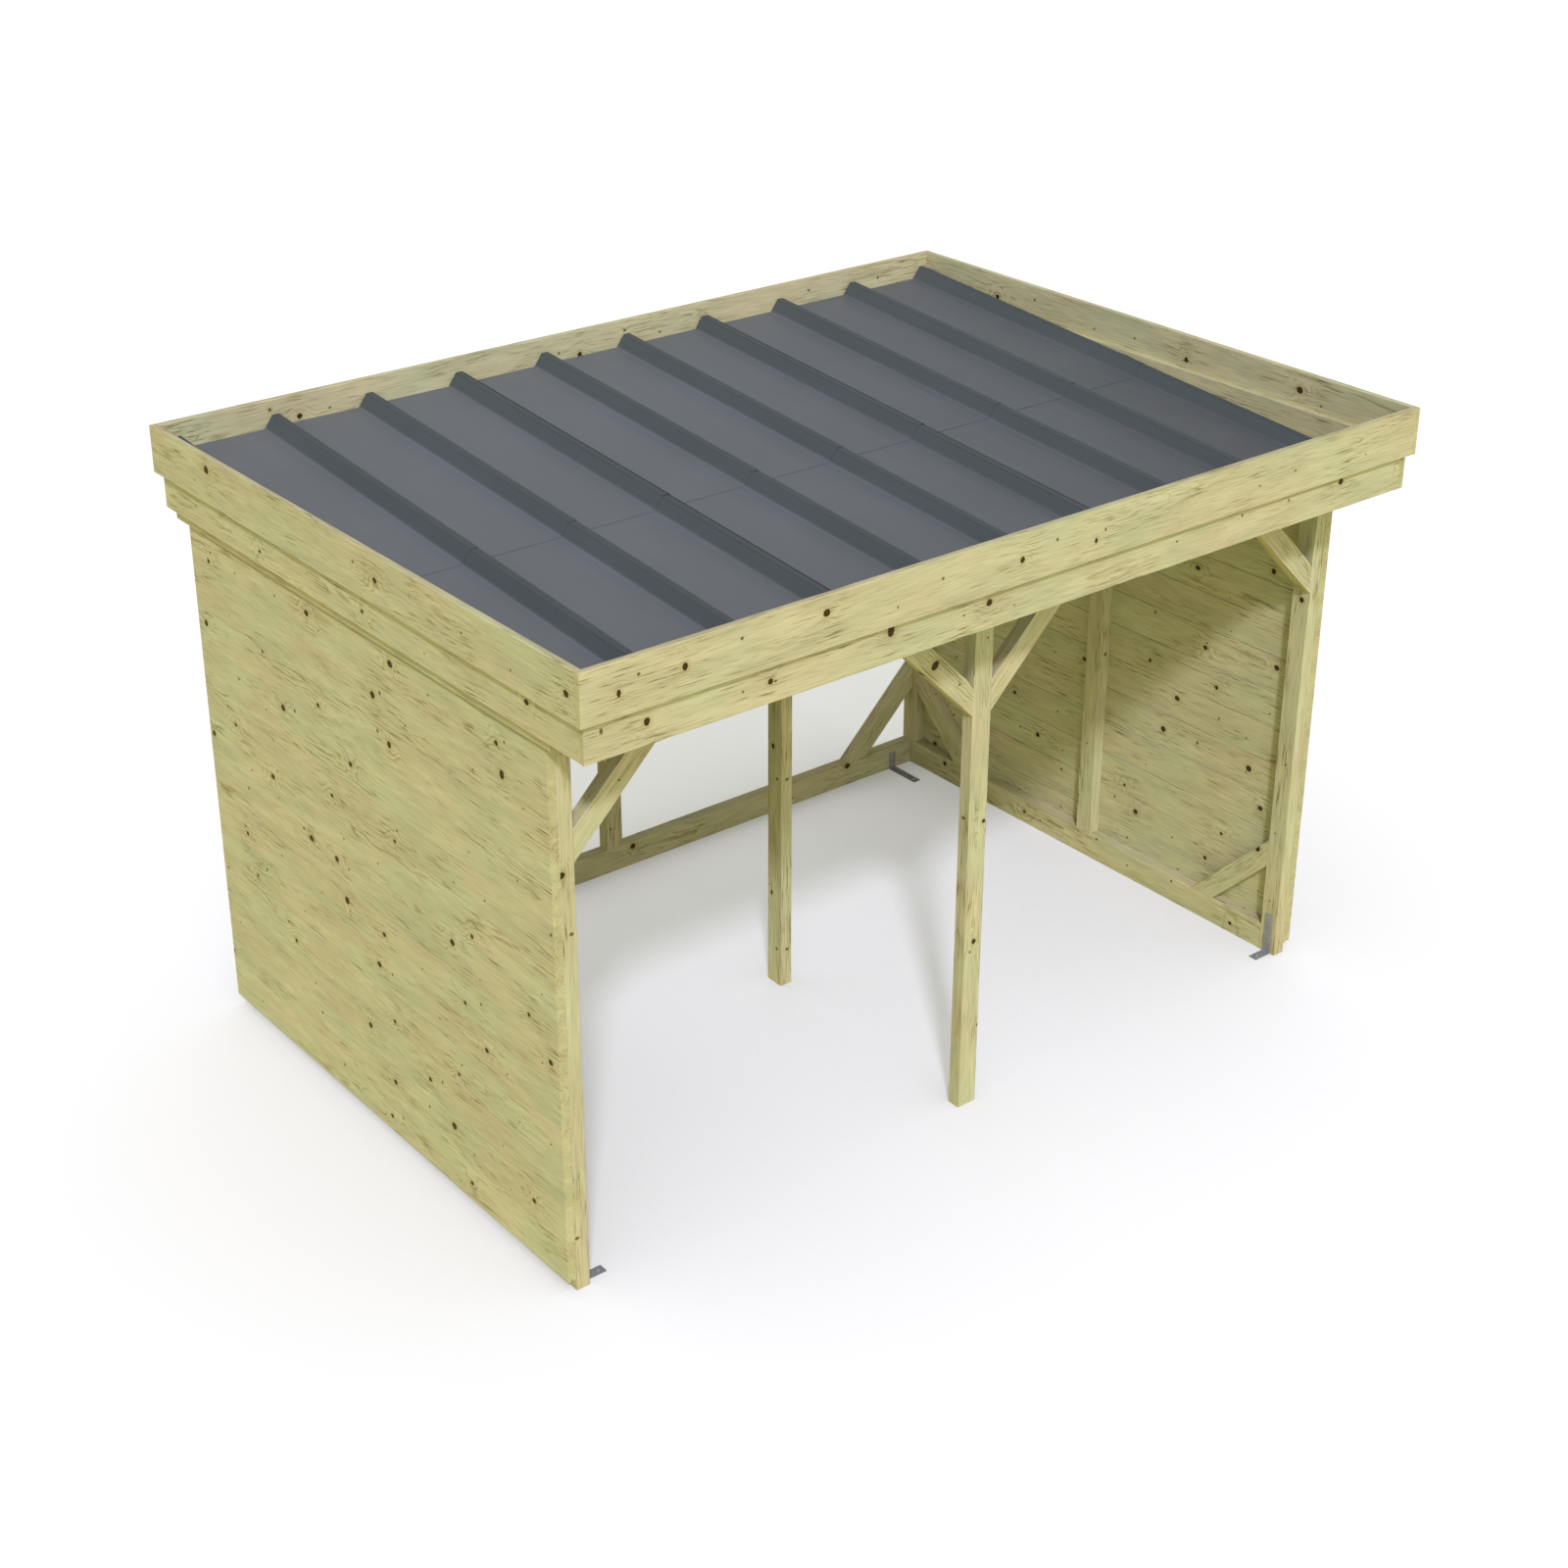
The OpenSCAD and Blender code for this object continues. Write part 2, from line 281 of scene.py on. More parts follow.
@dataclass(frozen=True)
class TreatedPine:
    """Planed, green-treated pine: growth rings round a heart, knots, soft patches and fibres."""

    name: str = "treated_pine"
    tan: Colour = srgb(200, 190, 146)
    green: Colour = srgb(194, 193, 148)
    late: Colour = srgb(132, 116, 60)
    end_tint: Colour = srgb(198, 187, 128)
    knot_heart: Colour = srgb(70, 50, 10)
    knot_rim: Colour = srgb(44, 36, 4)
    pin_heart: Colour = srgb(84, 70, 20)
    halo: Colour = srgb(164, 142, 84)
    ring: float = 0.0062
    ring_drift: float = 0.055
    ring_ripple: float = 0.0035
    relief: float = 0.0006
    big_knots: KnotRow = KnotRow(0.46, 0.0080, 0.062, 0.74, 3.7, 0.011, 0.052, 0.004)
    pin_knots: KnotRow = KnotRow(0.27, 0.0042, 0.085, 0.74, 41.3, 0.003, 0.022, 0.002)

    def knots(
        self, recipe: Recipe, row: KnotRow, place: Sequence[Value], heart: Sequence[Value]
    ) -> tuple[Value, Value, Value]:
        """One row of knots, each a branch that runs out from the heart of the log.

        Args:
            recipe: Node tree to add to.
            row: Spacing and size of the knots.
            place: Place on the board: along, across and through.
            heart: Place of the log's heart across and through the board.

        Returns:
            Distance from the branch, its radius, and 1 where there is a knot.
        """
        along, across, through = place
        cell = recipe.maths("FLOOR", along / row.spacing)
        dice = recipe.node(
            "ShaderNodeTexWhiteNoise", {"noise_dimensions": "1D"}, {"W": cell + row.seed}
        )
        slide, aim, chance = recipe.split(dice.outputs["Color"])
        off_along = along - (cell + slide * 0.76 + 0.12) * row.spacing
        side = (aim - 0.5) * row.wander - heart[0]
        out = heart[1] * -1.0
        reach = recipe.maths("SQRT", side * side + out * out)
        off_side = ((across - heart[0]) * out - (through - heart[1]) * side) / reach
        distance = recipe.maths("SQRT", off_along * off_along * 0.72 + off_side * off_side)
        radius = (aim * 0.75 + 0.62) * row.radius
        return distance, radius, recipe.maths("LESS_THAN", chance, row.share)

    def build(self) -> Material:
        """Makes the material.

        Returns:
            The material, for meshes that store their grain, heart and sawn ends.
        """
        recipe = Recipe(self.name)
        fade, level, blend = recipe.fade, recipe.level, recipe.blend
        grain = recipe.stored("grain")
        place = recipe.split(grain)
        *heart, tone = recipe.split(recipe.stored("heart"))
        ends = recipe.mask("end_cut")

        # Growth rings round the heart, bent by knots and drawn finer on the sawn ends
        ripple = level(grain, (9, 60, 60), 1.0)
        big, big_radius, big_on = self.knots(recipe, self.big_knots, place, heart)
        pin, pin_radius, pin_on = self.knots(recipe, self.pin_knots, place, heart)
        swell = ripple * self.ring_ripple
        for row, gap, on in ((self.big_knots, big, big_on), (self.pin_knots, pin, pin_on)):
            swell = swell + fade(gap, row.swell_far, row.swell_near) * on * row.swell
        drift = recipe.split(recipe.noise(grain, (1.7, 7, 7), 1.5).outputs[1])
        from_side, from_face = (
            at - centre + (sway - 0.5) * self.ring_drift
            for at, centre, sway in zip(place[1:], heart, drift)
        )
        radius = recipe.maths("SQRT", from_side * from_side + from_face * from_face)
        turns = (radius + swell) / self.ring
        turn = recipe.maths("FRACT", turns * (ends + 1.0))
        strength = recipe.node(
            "ShaderNodeTexNoise", {"noise_dimensions": "1D"}, {"W": turns * 0.43, "Detail": 1.0}
        )
        # Dark late wood, stronger in streaks, near knots and where the grain is busy
        late = fade(turn, 0.30, 0.93) * fade(turn, 1.0, 0.94)
        late = late * fade(Value(recipe, strength.outputs[0]), 0.30, 0.72)
        streak = level(grain, (6.5, 75, 75), 2.0)
        fibre = level(grain, (12, 210, 210), 3.0)
        busy = fade(level(grain, (3.1, 12, 12), 1.0), 0.48, 0.66)
        busy = recipe.maths("MAXIMUM", busy, fade(big, 0.11, 0.03) * big_on * 0.8)
        late = late * (fade(streak, 0.40, 0.62) * 0.8 + ends * 0.5 + 0.2)
        late = late * (busy * 0.8 + ends * 0.4 + 0.2)
        fleck = fade(fibre, 0.45, 0.30) * (busy * 0.84 + 0.12)

        # Green and tan patches, then the rings and fibres over them
        patch = level(grain, (2.3, 4.2, 4.2), 1.5)
        cloud = level(grain, (3.8, 23, 23), 2.5)
        wood = blend(fade(patch + tone * 0.03, 0.36, 0.66), self.tan, self.green)
        wood = blend(late * 0.78, wood, self.late)
        wood = blend(fleck, wood, self.late)
        wood = blend(ends * 0.35, wood, self.end_tint)
        shade = (fibre - 0.5) * 0.50 + (cloud - 0.5) * 0.46 + tone * 0.022 + 1.0
        wood = blend(1.0, wood, recipe.join(shade, shade, shade), "MULTIPLY")

        # Knots on the long faces, each with a dark rim and a soft halo
        big_on = big_on * (1 - ends)
        pin_on = pin_on * (1 - ends)
        big_edge = big + (ripple - 0.5) * 0.006
        halo = fade(big_edge, big_radius * 2.8, big_radius * 0.9) * big_on
        wood = blend(halo * 0.30, wood, self.halo)
        inside = fade(big_edge, big_radius * 1.15, big_radius * 0.75) * big_on
        middle = fade(big_edge, big_radius * 0.8, big_radius * 0.2)
        wood = blend(inside, wood, blend(middle, self.knot_rim, self.knot_heart))
        dot = fade(pin, pin_radius * 1.3, pin_radius * 0.4) * pin_on
        wood = blend(dot * 0.92, wood, self.pin_heart)

        knots = fade(big, big_radius * 1.1, big_radius * 0.8) * big_on
        roughness = 0.66 + (fibre - 0.5) * 0.18 - knots * 0.12
        height = late * 0.5 + fibre * 0.45 - knots * 0.25
        look = {"Base Color": wood, "Roughness": roughness, "Specular IOR Level": 0.22}
        recipe.surface(look, height, self.relief)
        return recipe.material


@dataclass(frozen=True)
class CoatedSteel:
    """Dark grey coated roof steel: fine grained coat, light dust, rain runs down the fall and
    painted shade.
    """

    name: str = "coated_roof_steel"
    # Rib flank and crown colours, darker than the pans: painted shade on the ribs
    shaded_flank: Colour = srgb(74, 83, 83)
    shaded_crown: Colour = srgb(67, 75, 76)
    # Pan colours, pale to the left and back and darker to the right and front: a painted shade
    # gradient
    lit_pan: Colour = srgb(107, 111, 114)
    shaded_pan: Colour = srgb(82, 85, 88)
    # Painted shadow line along the edge of a lapping sheet
    lap_shadow: Colour = srgb(40, 42, 48)
    dust: Colour = srgb(128, 130, 133)
    relief: float = 0.004

    def build(self) -> Material:
        """Makes the material.

        Returns:
            The material, for meshes that store their rise over the pans and their painted lap
            shadows.
        """
        recipe = Recipe(self.name)
        fade, blend = recipe.fade, recipe.blend
        where = recipe.where()
        speck = recipe.level(where, (900, 900, 900), 1.0)
        runs = recipe.level(where, (34, 1.6, 34), 3.0)
        cloud = recipe.level(where, (2.6, 2.2, 2.6), 3.0)
        buckle = recipe.level(where, (4.0, 1.3, 4.0), 1.0)
        rise = recipe.mask("rise")
        # 1 on the pans, which keep the pale colour, and 0 on the ribs, which get painted shade
        pan = fade(rise, 0.24, -0.05)
        x, y, _ = recipe.split(where)
        # Painted shade gradient: the pans darken towards the right and the front of the roof
        pan_shade_gradient = fade(x - y * 0.5 + (cloud - 0.5) * 0.5, -1.0, 2.6)
        runs_off = fade(runs, 0.42, 0.75) * 0.10 + fade(cloud, 0.35, 0.75) * 0.14
        # Painted shade: the rib flanks darker than the pans, and the crowns darker still
        rib = blend(fade(rise, 0.88, 1.0), self.shaded_flank, self.shaded_crown)
        colour = blend(pan, rib, blend(pan_shade_gradient, self.lit_pan, self.shaded_pan))
        colour = blend(runs_off * (pan * 0.7 + 0.3), colour, self.dust)
        colour = blend((speck - 0.5) * 0.14 + 0.03, colour, self.dust)
        # Painted shadow line along the edge of each lapping sheet
        colour = blend(recipe.mask("lap_shadow"), colour, self.lap_shadow)
        roughness = 0.46 + runs_off * 0.35 + (speck - 0.5) * 0.08
        look = {"Base Color": colour, "Roughness": roughness, "Specular IOR Level": 0.36}
        recipe.surface(look, buckle + speck * 0.012, self.relief)
        return recipe.material


@dataclass(frozen=True)
class SpangledZinc:
    """Hot-dip zinc on the floor brackets, with crystal facets and dull smears."""

    name: str = "spangled_zinc"
    light: Colour = srgb(170, 171, 176)
    dull: Colour = srgb(140, 142, 146)
    facets: float = 190.0
    relief: float = 0.0002

    def build(self) -> Material:
        """Makes the material, its facets so many to a metre."""
        recipe = Recipe(self.name)
        where = recipe.where()
        facet = recipe.node("ShaderNodeTexVoronoi", inputs={"Vector": where, "Scale": self.facets})
        tint, gloss, _ = recipe.split(facet.outputs["Color"])
        smear = recipe.level(where, (30, 30, 30), 3.0)
        share = recipe.fade(smear, 0.35, 0.7) * 0.5 + tint * 0.35
        colour = recipe.blend(share, self.light, self.dull)
        roughness = 0.34 + gloss * 0.12 + smear * 0.12
        look = {"Base Color": colour, "Roughness": roughness, "Metallic": 0.35}
        recipe.surface(look, tint * 0.4 + smear, self.relief)
        return recipe.material


@dataclass(frozen=True)
class PaleFloor:
    """Studio floor: warm to the light that it throws back, and plain white to the camera.

    Glow is how much it lights itself to the camera. Shade is the share of that which it loses
    under the object, over the shade's reach.
    """

    name: str = "pale_floor"
    paint: Colour = (0.75, 0.73, 0.27, 1.0)
    seen_paint: Colour = (0.62, 0.62, 0.597, 1.0)
    glow: float = 0.50
    shade: float = 0.80
    shade_reach: float = 2.0

    def build(self) -> Material:
        """Makes the material.

        Returns:
            Matt paint, which lights itself where it is looked at.
        """
        recipe = Recipe(self.name)
        grain = recipe.level(recipe.where(), (55, 55, 55), 3.0)
        roughness = 0.85 + (grain - 0.5) * 0.1
        paint, seen = (
            recipe.node(
                "ShaderNodeBsdfPrincipled",
                inputs={"Base Color": tint, "Roughness": roughness, "Specular IOR Level": 0.1},
            )
            for tint in (self.paint, self.seen_paint)
        )
        near = recipe.node(
            "ShaderNodeAmbientOcclusion", {"samples": 6}, {"Distance": self.shade_reach}
        )
        bright = (Value(recipe, near.outputs["AO"]) * self.shade + (1 - self.shade)) * self.glow
        glow = recipe.node(
            "ShaderNodeEmission", inputs={"Color": recipe.join(bright, bright, bright)}
        )
        lit = recipe.node("ShaderNodeAddShader", inputs={0: seen.outputs[0], 1: glow.outputs[0]})
        rays = recipe.node("ShaderNodeLightPath").outputs
        mixed = recipe.node(
            "ShaderNodeMixShader",
            inputs={0: rays["Is Camera Ray"], 1: paint.outputs[0], 2: lit.outputs[0]},
        )
        recipe.node("ShaderNodeOutputMaterial", inputs={"Surface": mixed.outputs[0]})
        return recipe.material


class Finish(Enum):
    """The finishes of the shelter by name."""

    PINE = TreatedPine()
    STEEL = CoatedSteel()
    ZINC = SpangledZinc()
    FLOOR = PaleFloor()

    def material(self) -> Material:
        """Its material, made when it is first asked for."""
        return bpy.data.materials.get(self.value.name) or self.value.build()


class Slot(Enum):
    """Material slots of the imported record."""

    FRAME = "frame_timber"
    WALL = "wall_boards"
    PARAPET = "parapet_boards"
    ROOF = "roof_steel"
    BRACKET = "zinc_bracket"


# ---- Mesh building ----


def bevel(
    mesh: BMesh, geom: list[Any], offset: float, segments: int = 1, affect: str = "EDGES"
) -> list[BMFace]:
    """Rounds or chamfers edges or corners.

    Args:
        mesh: Mesh to work on.
        geom: Edges, or points where corners are cut.
        offset: How much comes off.
        segments: 1 for a chamfer, more for a round.
        affect: EDGES or VERTICES.

    Returns:
        The new faces.
    """
    made = bmesh.ops.bevel(
        mesh,
        geom=geom,
        offset=offset,
        offset_type="OFFSET",
        segments=segments,
        profile=0.5,
        affect=affect,
        clamp_overlap=True,
        material=-1,
    )
    return made["faces"]


def bisect(
    mesh: BMesh, point: Sequence[float], normal: Vector, clear: bool = False
) -> list[BMEdge]:
    """Cuts a mesh along a plane.

    Args:
        mesh: Mesh to cut.
        point: A point of the plane.
        normal: The way that the plane faces.
        clear: Whether what lies on that side falls away.

    Returns:
        The edges of the cut.
    """
    made = bmesh.ops.bisect_plane(
        mesh,
        geom=mesh.verts[:] + mesh.edges[:] + mesh.faces[:],
        dist=TOUCH,
        plane_co=point,
        plane_no=normal,
        clear_outer=clear,
    )
    return [part for part in made["geom_cut"] if isinstance(part, BMEdge)]


def push(mesh: BMesh, made: dict[str, list[Any]], way: Sequence[float]) -> list[BMVert]:
    """Moves the points that an operator has made.

    Args:
        mesh: Mesh that they belong to.
        made: What the operator returned.
        way: How far they move.

    Returns:
        The points.
    """
    points = [part for part in made["geom"] if isinstance(part, BMVert)]
    bmesh.ops.translate(mesh, verts=points, vec=way)
    return points


def to_mesh(source: BMesh, name: str) -> Mesh:
    """Turns a bmesh into a mesh and frees it."""
    mesh = bpy.data.meshes.new(name)
    source.to_mesh(mesh)
    source.free()
    return mesh


def add_object(name: str, data: ID) -> Object:
    """Puts an object with that data in the scene."""
    made = bpy.data.objects.new(name, data)
    bpy.context.scene.collection.objects.link(made)
    return made


class Solid:
    """The box of one solid of the frame."""

    def __init__(self, node: str) -> None:
        """Reads the box of that node."""
        self.low, self.high = (Vector(corner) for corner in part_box(node))
        self.middle = (self.low + self.high) / 2
        self.size = self.high - self.low

    def reach(self, way: Vector) -> float:
        """How long the box is that way."""
        return abs(way.dot(self.size))


# ---- Timber ----


@dataclass(frozen=True)
class Axes:
    """Where a timber lies: its middle, the way that it runs and its narrow way."""

    middle: Vector
    along: Vector
    through: Vector

    @property
    def across(self) -> Vector:
        """The third way."""
        return self.through.cross(self.along)

    def matrix(self) -> Matrix:
        """From the timber's own place to the shelter's."""
        turn = Matrix((self.along, self.across, self.through)).transposed().to_4x4()
        return Matrix.Translation(self.middle) @ turn


@dataclass(frozen=True)
class Cut:
    """A saw cut: what lies on the normal's side of it falls away."""

    point: Vector
    normal: Vector


def roof_cut(point: Vector) -> Cut:
    """The saw cut that follows the fall of the roof through a point."""
    return Cut(point, Vector((0, -math.sin(ROOF_FALL), math.cos(ROOF_FALL))))


class Sawn(Enum):
    """How a board comes out of its log: the heart's place behind its face, and its lean."""

    PLAIN = (0.050, 0.016)
    RIFT = (0.085, 0.030)
    POST = (0.038, 0.008)


@dataclass
class Timber:
    """One length of planed timber with rounded long edges and clean sawn ends.

    Its seed is the name of its solid and the start of its random draws. The heart's place is a
    share of the width aside and of the log's depth behind. The grain shift keeps two timbers
    from looking alike.
    """

    seed: str
    axes: Axes
    length: float
    width: float
    thick: float
    sawn: Sawn = Sawn.PLAIN
    cuts: Sequence[Cut] = ()
    round_off: float = 0.0022
    end_ease: float = 0.0006
    heart_aside: float = 0.3
    heart_behind: tuple[float, float] = (0.7, 1.5)
    grain_shift: float = 400.0

    def blank(self) -> BMesh:
        """The planed blank at its own origin, before it is cut to its place."""
        mesh = bmesh.new()
        bmesh.ops.create_cube(mesh, size=1.0)
        bmesh.ops.scale(mesh, vec=(self.length, self.width, self.thick), verts=mesh.verts)
        long_edges = [
            edge
            for edge in mesh.edges
            if abs((edge.verts[1].co - edge.verts[0].co).normalized().x) > ALONG
        ]
        for face in bevel(mesh, long_edges, self.round_off, 3):
            face.smooth = True
        return mesh

    def saw(self, mesh: BMesh) -> None:
        """Takes each cut and closes the new faces."""
        for cut in self.cuts:
            rim = bisect(mesh, cut.point, cut.normal, clear=True)
            bmesh.ops.edgeloop_fill(mesh, edges=[edge for edge in rim if edge.is_boundary])

    def is_end(self, face: BMFace) -> bool:
        """Whether the face is a sawn end."""
        return abs(face.normal.dot(self.axes.along)) > END_ON

    def ease_ends(self, mesh: BMesh) -> None:
        """Takes the sharpness off the sawn ends."""
        mesh.normal_update()
        rim = [
            edge
            for edge in mesh.edges
            if len(edge.link_faces) == 2 and sum(map(self.is_end, edge.link_faces)) == 1
        ]
        bevel(mesh, rim, self.end_ease)

    def write_grain(self, mesh: BMesh) -> None:
        """Stores where each point lies on the board and where the log's heart was."""
        dice = random.Random(self.seed)
        back, lean = self.sawn.value
        face_side = dice.choice((-1, 1))
        shift = dice.uniform(0, self.grain_shift)
        aside = dice.uniform(-self.heart_aside, self.heart_aside) * self.width
        heart = Vector((aside, face_side * -dice.uniform(*self.heart_behind) * back))
        slope = Vector((dice.uniform(-1, 1), dice.uniform(-1, 1))) * lean
        tone = dice.uniform(-1, 1)
        home = self.axes.matrix().inverted()
        grain = mesh.verts.layers.float_vector.new("grain")
        log = mesh.verts.layers.float_vector.new("heart")
        ends = mesh.faces.layers.float.new("end_cut")
        for vert in mesh.verts:
            spot = home @ vert.co
            centre = heart + slope * spot.x
            vert[grain] = Vector((spot.x + shift, spot.y, spot.z))
            vert[log] = Vector((centre.x, centre.y, tone))
        mesh.normal_update()
        for face in mesh.faces:
            face[ends] = float(self.is_end(face))

    def make(self) -> Mesh:
        """The finished timber as a mesh."""
        mesh = self.blank()
        bmesh.ops.transform(mesh, matrix=self.axes.matrix(), verts=mesh.verts)
        self.saw(mesh)
        bmesh.ops.recalc_face_normals(mesh, faces=mesh.faces)
        self.ease_ends(mesh)
        self.write_grain(mesh)
        return to_mesh(mesh, self.seed)


@dataclass
class TongueBoard(Timber):
    """A wall board with a tongue on top, a groove below and a chamfered inner face."""

    tongue: float = 0.0078
    tongue_out: float = 0.0080
    groove: float = 0.0080
    groove_in: float = 0.0080
    inner_chamfer: float = 0.0028
    outer_chamfer: float = 0.0010

    def section(self, mesh: BMesh) -> None:
        """Draws the board's cross-section flat: x towards its tongue, y towards its outer face."""
        bmesh.ops.create_grid(mesh, x_segments=1, y_segments=1, size=0.5)
        bmesh.ops.scale(mesh, vec=(self.width, self.thick, 1), verts=mesh.verts)
        for side, chamfer in ((1, self.outer_chamfer), (-1, self.inner_chamfer)):
            face = [vert for vert in mesh.verts if vert.co.y * side > self.thick / 2 - TOUCH]
            bevel(mesh, face, chamfer, affect="VERTICES")
        for step in (self.groove, self.tongue):
            for side in (1, -1):
                bisect(mesh, (0, side * step / 2, 0), Y_AXIS)
        floor = -self.width / 2 + self.groove_in
        bisect(mesh, (floor, 0, 0), X_AXIS)
        slot = [
            face
            for face in mesh.faces
            if face.calc_center_median().x < floor
            and abs(face.calc_center_median().y) < self.groove / 2
        ]
        bmesh.ops.delete(mesh, geom=slot, context="FACES")
        root = [
            edge
            for edge in mesh.edges
            if all(
                vert.co.x > self.width / 2 - TOUCH and abs(vert.co.y) < self.tongue / 2 + TOUCH
                for vert in edge.verts
            )
        ]
        push(mesh, bmesh.ops.extrude_edge_only(mesh, edges=root), (self.tongue_out, 0, 0))

    def blank(self) -> BMesh:
        """The board before it is cut to length: +y is its tongue side, +z its outer face."""
        mesh = bmesh.new()
        self.section(mesh)
        bmesh.ops.translate(mesh, verts=mesh.verts, vec=(0, 0, -self.length / 2))
        far = bmesh.ops.extrude_face_region(mesh, geom=mesh.faces[:], use_keep_orig=True)
        push(mesh, far, (0, 0, self.length))
        bmesh.ops.dissolve_limit(mesh, angle_limit=NO_BEND, verts=mesh.verts, edges=mesh.edges)
        lay_down = Matrix((Z_AXIS, X_AXIS, Y_AXIS)).to_4x4()
        bmesh.ops.transform(mesh, matrix=lay_down, verts=mesh.verts)
        return mesh


def seat(
    name: str, meshes: Sequence[Mesh], finish: Finish, nodes: Sequence[str]
) -> None:
    """Joins meshes into one piece and seats it on the frame.

    Args:
        name: Name of the piece.
        meshes: Its parts, already in their place.
        finish: Its finish.
        nodes: The solids that it stands for.
    """
    joined = bmesh.new()
    for mesh in meshes:
        joined.from_mesh(mesh)
    whole = to_mesh(joined, name)
    for mesh in meshes:
        bpy.data.meshes.remove(mesh)
    whole.materials.append(finish.material())
    piece = add_object(name, whole)
    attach(piece, BODY)
    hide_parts(*nodes)
    LOG.info("%s: %d part(s), %d faces", name, len(meshes), len(whole.polygons))


def fill(node: str, along: Vector, through: Vector, sawn: Sawn) -> Timber:
    """A timber that fills its solid.

    Args:
        node: The solid.
        along: The way that the timber runs.
        through: Its narrow way.
        sawn: How it comes out of its log.

    Returns:
        The timber, without its cuts.
    """
    solid = Solid(node)
    axes = Axes(solid.middle, along, through)
    length, width, thick = map(solid.reach, (along, axes.across, through))
    return Timber(node, axes, length, width, thick, sawn)


def seat_timbers(timbers: Iterable[Timber]) -> None:
    """Makes each timber and seats it as a piece of its own."""
    for timber in timbers:
        seat(timber.seed + "_dressed", [timber.make()], Finish.PINE, [timber.seed])


# ---- Sub-assemblies ----


@dataclass
class PostFrame:
    """Posts, sills and roof beams of the frame, listed by the way that their narrow side runs."""

    posts_along_x: Sequence[str] = (
        "left_front_post",
        "left_mid_post",
        "left_back_post",
        "right_front_post",
        "right_mid_post",
        "right_back_post",
        "centre_post",
    )
    posts_along_y: Sequence[str] = ("front_mid_post", "back_mid_post")
    side_sills: Sequence[str] = ("left_sill", "right_sill")
    beams: Sequence[str] = ("front_beam", "mid_beam", "back_beam")

    def beam(self, node: str) -> Timber:
        """A roof beam, its top cut to the fall."""
        blank = fill(node, X_AXIS, -Y_AXIS, Sawn.RIFT)
        blank.cuts = (roof_cut(Solid(node).high),)
        return blank

    def build(self) -> None:
        """Makes and seats every post, sill and beam."""
        timbers = [fill(node, Z_AXIS, X_AXIS, Sawn.POST) for node in self.posts_along_x]
        timbers += [fill(node, Z_AXIS, -Y_AXIS, Sawn.POST) for node in self.posts_along_y]
        timbers += [fill(node, Y_AXIS, X_AXIS, Sawn.RIFT) for node in self.side_sills]
        timbers.append(fill("back_sill", X_AXIS, -Y_AXIS, Sawn.RIFT))
        timbers += [self.beam(node) for node in self.beams]
        seat_timbers(timbers)


@dataclass
class KneeBraces:
    """Braces across the corners of the frame, each cut to its post and to the timber it meets.

    A corner is given with the level way that it lies along and how it opens: 1 along that way
    or -1 against it, and 1 up or -1 down.
    """

    brace_width: float = 0.070
    corners: Sequence[tuple[str, Vector, int, int]] = (
        ("left_front_brace", X_AXIS, 1, -1),
        ("mid_left_brace", X_AXIS, -1, -1),
        ("mid_right_brace", X_AXIS, 1, -1),
        ("right_front_brace", X_AXIS, -1, -1),
        ("back_left_brace", X_AXIS, 1, 1),
        ("back_right_brace", X_AXIS, -1, 1),
        ("left_wall_front_brace", Y_AXIS, 1, 1),
        ("right_wall_front_brace", Y_AXIS, 1, 1),
        ("left_wall_back_brace", Y_AXIS, -1, 1),
        ("right_wall_back_brace", Y_AXIS, -1, 1),
    )

    def brace(self, node: str, run: Vector, side: int, lift: int) -> Timber:
        """One brace in the plane of run and up.

        Args:
            node: Solid to fill.
            run: Level way in the plane of the brace.
            side: 1 for a corner that opens along run, -1 against it.
            lift: 1 for a corner that opens up, -1 down.

        Returns:
            The brace with both its cuts.
        """
        solid = Solid(node)
        tall, wide = solid.size.z, solid.reach(run)
        level, upward = run * side, Z_AXIS * lift
        corner = solid.middle - (level + upward) * wide / 2
        outer = corner + level * wide
        foot = outer - level * self.brace_width / math.sqrt(2)
        middle = foot + (corner + upward * tall - outer) / 2
        along = (level - upward).normalized()
        through = run.cross(Z_AXIS)
        return Timber(
            node,
            Axes(middle, along, through),
            tall * math.sqrt(2) + self.brace_width,
            self.brace_width,
            solid.reach(through),
            Sawn.POST,
            (Cut(corner, -level), Cut(corner, -upward)),
        )

    def build(self) -> None:
        """Makes and seats every brace."""
        seat_timbers([self.brace(*corner) for corner in self.corners])


@dataclass
class BoardedWall:
    """A side wall of level tongue-and-groove boards, its top sawn to the fall of the roof."""

    node: str
    outward: int
    cover: float = 0.128
    joint: float = 0.0003
    end_ease: float = 0.0004

    def build(self) -> None:
        """Makes the boards from the bottom up and seats them as one wall."""
        solid = Solid(self.node)
        out = X_AXIS * self.outward
        along = Y_AXIS * self.outward
        top = roof_cut(solid.high)
        boards = []
        for index in range(math.ceil(solid.size.z / self.cover)):
            height = solid.low.z + (index + 0.5) * self.cover
            board = TongueBoard(
                f"{self.node}_board_{index}",
                Axes(Vector((*solid.middle.xy, height)), along, out),
                solid.size.y,
                self.cover - self.joint,
                solid.size.x,
                Sawn.PLAIN if index % 3 else Sawn.RIFT,
                (top,),
                end_ease=self.end_ease,
            )
            boards.append(board.make())
        seat(self.node + "_boards", boards, Finish.PINE, [self.node])


